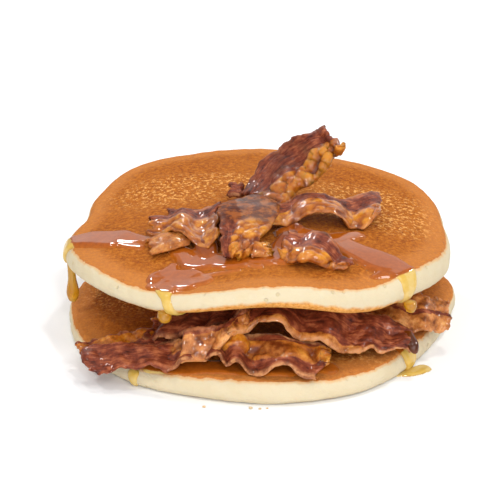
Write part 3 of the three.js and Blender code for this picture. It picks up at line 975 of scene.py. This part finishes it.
def film_on(pancake, name, strokes, seed, paint):
    """Syrup on a pancake. The strokes lie on its unrolled map, so one that passes the top edge runs down
    the side."""
    points = np.array([p[:3] for stroke in strokes for p in stroke])
    angle, length = pancake.unrolled(points[:, 0], points[:, 1])
    middle = math.atan2(np.sin(angle).mean(), np.cos(angle).mean())
    away = np.hypot(points[:, 0] - pancake.centre[0], points[:, 1] - pancake.centre[1])
    off = np.mod(angle - middle + math.pi, 2 * math.pi) - math.pi
    margin = (points[:, 2] + 3) / np.maximum(away, 8)
    turn = np.arange((off - margin).min(), (off + margin).max(), GRID_STEP / PANCAKE_RADIUS)
    angles = middle + turn[None, :]
    low, high = (length - points[:, 2] - 3).min(), (length + points[:, 2] + 3).max()
    lengths = np.arange(low, min(high, SIDE_LENGTH + 4), GRID_STEP)[:, None]
    angles, lengths = np.broadcast_arrays(angles, lengths)
    flat_radius = pancake.radius(angles) - TOP_INSET + lengths
    x = pancake.centre[0] + flat_radius * np.cos(angles)
    y = pancake.centre[1] + flat_radius * np.sin(angles)
    return film(name, pancake.level(angles, lengths), lengths, x, y, strokes, seed, paint)


def film_on_plane(name, strokes, seed, paint):
    """Syrup that has run onto the table, its border a quarter of an ellipse."""
    points = np.array([p[:3] for stroke in strokes for p in stroke])
    low, high = points[:, :2].min(axis=0) - 10, points[:, :2].max(axis=0) + 10
    x, y = np.meshgrid(*(np.arange(low[k], high[k], GRID_STEP) for k in range(2)))
    depth, height = inside(strokes, x, y, seed)
    rise = height * np.sqrt(1 - (1 - np.clip(depth / PUDDLE_BANK_WIDTH, 0, 1)) ** 2)
    keep = (depth[:-1, :-1] > 0) & (depth[1:, 1:] > 0) & (depth[1:, :-1] > 0) & (depth[:-1, 1:] > 0)
    values = {"depth_mm": rise, "section_mm": 9 + 0 * rise}
    piece = shell(name, flat(x, y, rise), flat(x, y, -0.2), keep, values, paint)
    return piece


def drip(name, path, widths, paint):
    """A hanging drip: circles of the given radii carried down a smooth path, closed at both ends."""
    rows, columns = 60, 40
    run = np.linspace(0, 1, rows)
    centre = curve(path, run)
    radius = curve([(w, 0, 0) for w in widths], run)[:, 0]
    radius = radius * np.sqrt(np.clip(1 - np.abs(2 * run - 1) ** 12, 0, 1))
    turn = np.linspace(0, 2 * math.pi, columns, endpoint=False)[None, :]
    ring = flat(np.cos(turn), np.sin(turn), 0 * turn)
    points = centre[:, None, :] + radius[:, None, None] * ring
    depth = np.broadcast_to(2 * radius[:, None], (rows, columns))
    piece = skin(name, points, pole_ids(rows, columns), {"depth_mm": depth}, paint)
    return piece


# The pancake, the noise's seed, and the strokes: x, y, half width, height of the syrup.
FILMS = {
    "syrup_left_stream": (
        upper, 31,
        [
            (-42, -13, 3, 0.9), (-52, -9, 6.5, 1.3), (-62, -4, 6, 1.3),
            (-70, -2, 4.5, 1.2), (-76, -4, 2.2, 1.1),
        ],
        [(-43, -18, 1.6, 0.7), (-52, -12, 3, 1.0)],
    ),
    "syrup_front_left_pool": (
        upper, 33,
        [(-37, -46.5, 3, 0.8), (-33, -42, 6.5, 1.2), (-27, -45, 7.5, 1.2), (-20, -47, 3.4, 0.8)],
        [(-31, -34, 2, 1.0), (-33, -42, 6, 1.2)],
        [(-32, -46, 5, 1.1), (-33, -55, 2.6, 0.8), (-34, -63, 2.3, 0.9), (-34.8, -71, 2.6, 1.4)],
        [(-20, -44, 1.5, 0.6), (-8, -43, 1.2, 0.5)],
    ),
    "syrup_centre_pool": (
        upper, 35,
        [(-30, -22, 3, 0.8), (-23, -33, 6, 1.2), (-10, -37, 5, 1.2), (6, -34, 6, 1.3), (14, -22, 7, 1.3)],
        [(-19, -14, 3, 3.0), (-20, -24, 4.5, 3.4), (-20, -32, 5, 1.6)],
        [(11, -12, 4, 4.0), (10, -21, 5, 3.0), (8, -30, 6, 1.5)],
        [(-8, -36, 3, 0.8), (-2, -41, 2.4, 0.7)],
        [(10, -14, 6, 1.1), (24, -18, 5, 1.0), (33, -10, 3, 0.7)],
    ),
    "syrup_right_stream": (
        upper, 37,
        [
            (24, -16, 3.5, 0.8), (32, -24, 6, 1.2), (41, -31, 7.2, 1.3),
            (47, -36, 5.6, 1.2), (51, -40, 4, 0.9),
        ],
        [(38, -40, 1.8, 0.9), (44, -36, 4, 1.2)],
        [(51, -40, 3.6, 0.9), (54.5, -44, 2.6, 0.8), (59, -50, 2.3, 0.9), (63, -56, 2.7, 1.4)],
    ),
    "syrup_lower_front": (
        lower, 39,
        [
            (-38, -53, 3, 0.6), (-24, -56, 4.5, 0.7), (-8, -57, 5.5, 0.8),
            (8, -58, 4.5, 0.7), (22, -56, 3, 0.5),
        ],
    ),
    "syrup_lower_right": (
        lower, 41,
        [(48, -37, 4.4, 1.5), (52.5, -41.5, 3.4, 1.4), (54.5, -43.5, 2.4, 1.0), (56, -45, 2.0, 0.8)],
    ),
    "syrup_lower_left": (
        lower, 43,
        [(-45, -54, 2.2, 0.9), (-46.6, -56.5, 1.6, 0.9), (-47.6, -58, 1.6, 0.9)],
    ),
}
TABLE_POOL = [
    [(46, -45, 1.2, 0.6), (51, -42.5, 3.2, 0.9), (55.5, -39.5, 3.2, 1.0)],
]


# ---- crumbs


def crumbs(name, spots, paint):
    """Crumbs as small dented balls: a ball's points are pushed in and out by noise."""
    rows, columns = 9, 12
    tilt = np.linspace(0, math.pi, rows)[:, None]
    turn = np.linspace(0, 2 * math.pi, columns, endpoint=False)[None, :]
    ball = flat(np.sin(tilt) * np.cos(turn), np.sin(tilt) * np.sin(turn), np.cos(tilt) + 0 * turn)
    ids = pole_ids(rows, columns)
    still = np.zeros((rows, columns))
    values = {"section_mm": still + 1.9, "speckle": still, "foot_mm": still}
    for number, (x, y, size) in enumerate(spots):
        lumps = 1 + 0.35 * noise(ball, 0.8, 60 + number)[..., None]
        points = ball * lumps * np.array([1, 0.8, 0.6]) * size + np.array([x, y, 0.5 * size])
        piece = skin(f"{name}_{number}", points, ids, values, paint)


# ---- the object

pancake_paint = baked_pancake()
bacon_paint = fried_bacon()
syrup_paint = thin_syrup()
drip_paint = drip_syrup()
dark_paint = shaded_dark_syrup()

for pancake in (lower, upper):
    pancake.build(pancake_paint)
for strip in RASHERS:
    strip.build(bacon_paint)

for name, (pancake, seed, *strokes) in FILMS.items():
    film_on(pancake, name, strokes, seed, syrup_paint)
film_on_plane("syrup_on_table", TABLE_POOL, 45, syrup_paint)

# name: the middle of the drip as points, then its radius along them
DRIPS = {
    "drip_left": (
        [(-69.2, -6.2, 27.5), (-69, -6.3, 24.5), (-68.7, -6.6, 20), (-68.6, -7, 15), (-68.6, -7.2, 11.2)],
        [1.4, 1.3, 1.5, 2.3, 1.5],
    ),
    "drip_front_left": ([(-33.2, -52.8, 28), (-33.1, -53.4, 26), (-33, -53.4, 23.8)], [2, 2.4, 1.7]),
    "drip_right": ([(50, -40.2, 26), (50.3, -40.6, 24.2), (50.5, -40.8, 22.2)], [2.4, 2.2, 1.2]),
}
for name, (path, widths) in DRIPS.items():
    drip(name, path, widths, drip_paint)
# This syrup lies in the upper pancake's shade; its darker paint partly stands for that shade.
BACON_DRIP = [(49, -38, 15.5), (50, -42, 14.2), (51, -45.2, 12.6), (51.8, -47.2, 9.6)]
drip("syrup_on_bacon", BACON_DRIP, [0.8, 1.7, 2.1, 1.2], dark_paint)
# x, y, size
CRUMBS = [(-19.6, -69.5, 0.6), (-4, -70.5, 0.7), (-1, -70.8, 0.5), (1.4, -70.3, 0.4)]
crumbs("crumb", CRUMBS, pancake_paint)


# ---- floor, light, camera

CAMERA_TILT = math.radians(24)
CAMERA_DISTANCE = 0.7
CAMERA_LENS = 137.5
AIM = Vector((-0.0049, 0.0108, 0.0243))
FLOOR_HALF = 6.0
WORLD_LIGHT = 0.47
MIDDLE = Vector((0, 0, 0.03))
# name: place in metres, size, power in watts. The wide ones give the syrup its pale sheen, the small
# ones the bright points on wet bacon.
LIGHTS = {
    "overhead": ((-0.1, 0.1, 1.0), (1.2, 1.2), 1.0),
    "front": ((-0.3, -1.2, 0.42), (1.6, 0.8), 3.35),
    "behind": ((0.15, 1.15, 0.6), (1.5, 0.6), 1.8),
    "key": ((0.5, -0.55, 0.75), (0.25, 0.25), 2.4),
}
SPARKS = [(-0.5, -0.2, 0.8), (-0.25, 0.6, 0.6), (0.55, 0.35, 0.6), (0.2, 0.1, 1.0)]
SPARKS += [(0.35, -0.95, 0.3), (-0.3, -0.9, 0.22), (0.1, -0.8, 0.6)]
for number, place in enumerate(SPARKS):
    LIGHTS[f"spark_{number}"] = (place, (0.07, 0.07), 1.5)


def stand(name, data, place, aim):
    thing = bpy.data.objects.new(name, data)
    thing.location = place
    thing.rotation_mode = "QUATERNION"
    thing.rotation_quaternion = (aim - Vector(place)).to_track_quat("-Z", "Y")
    bpy.context.scene.collection.objects.link(thing)
    return thing


mesh = bpy.data.meshes.new("floor")
corners = [(x * FLOOR_HALF, y * FLOOR_HALF, 0) for x, y in ((-1, -1), (1, -1), (1, 1), (-1, 1))]
mesh.from_pydata(corners, [], [(0, 1, 2, 3)])
table = bpy.data.objects.new("floor", mesh)
bpy.context.scene.collection.objects.link(table)
table.data.materials.append(pale_floor())

lens = bpy.data.cameras.new("camera")
lens.lens = CAMERA_LENS
lens.sensor_width = 36
lens.clip_start, lens.clip_end = 0.05, 20
place = (0, -CAMERA_DISTANCE * math.cos(CAMERA_TILT), CAMERA_DISTANCE * math.sin(CAMERA_TILT))
bpy.context.scene.camera = stand("camera", lens, place, AIM)

for name, (place, size, power) in LIGHTS.items():
    light = bpy.data.lights.new(name, "AREA")
    light.shape = "RECTANGLE"
    light.size, light.size_y = size
    light.energy = power
    stand(name, light, place, MIDDLE)

world = bpy.data.worlds.new("studio")
world.use_nodes = True
background = world.node_tree.nodes["Background"]
background.inputs["Color"].default_value = (1, 1, 1, 1)
background.inputs["Strength"].default_value = WORLD_LIGHT
bpy.context.scene.world = world
bpy.context.scene.view_settings.view_transform = "Standard"
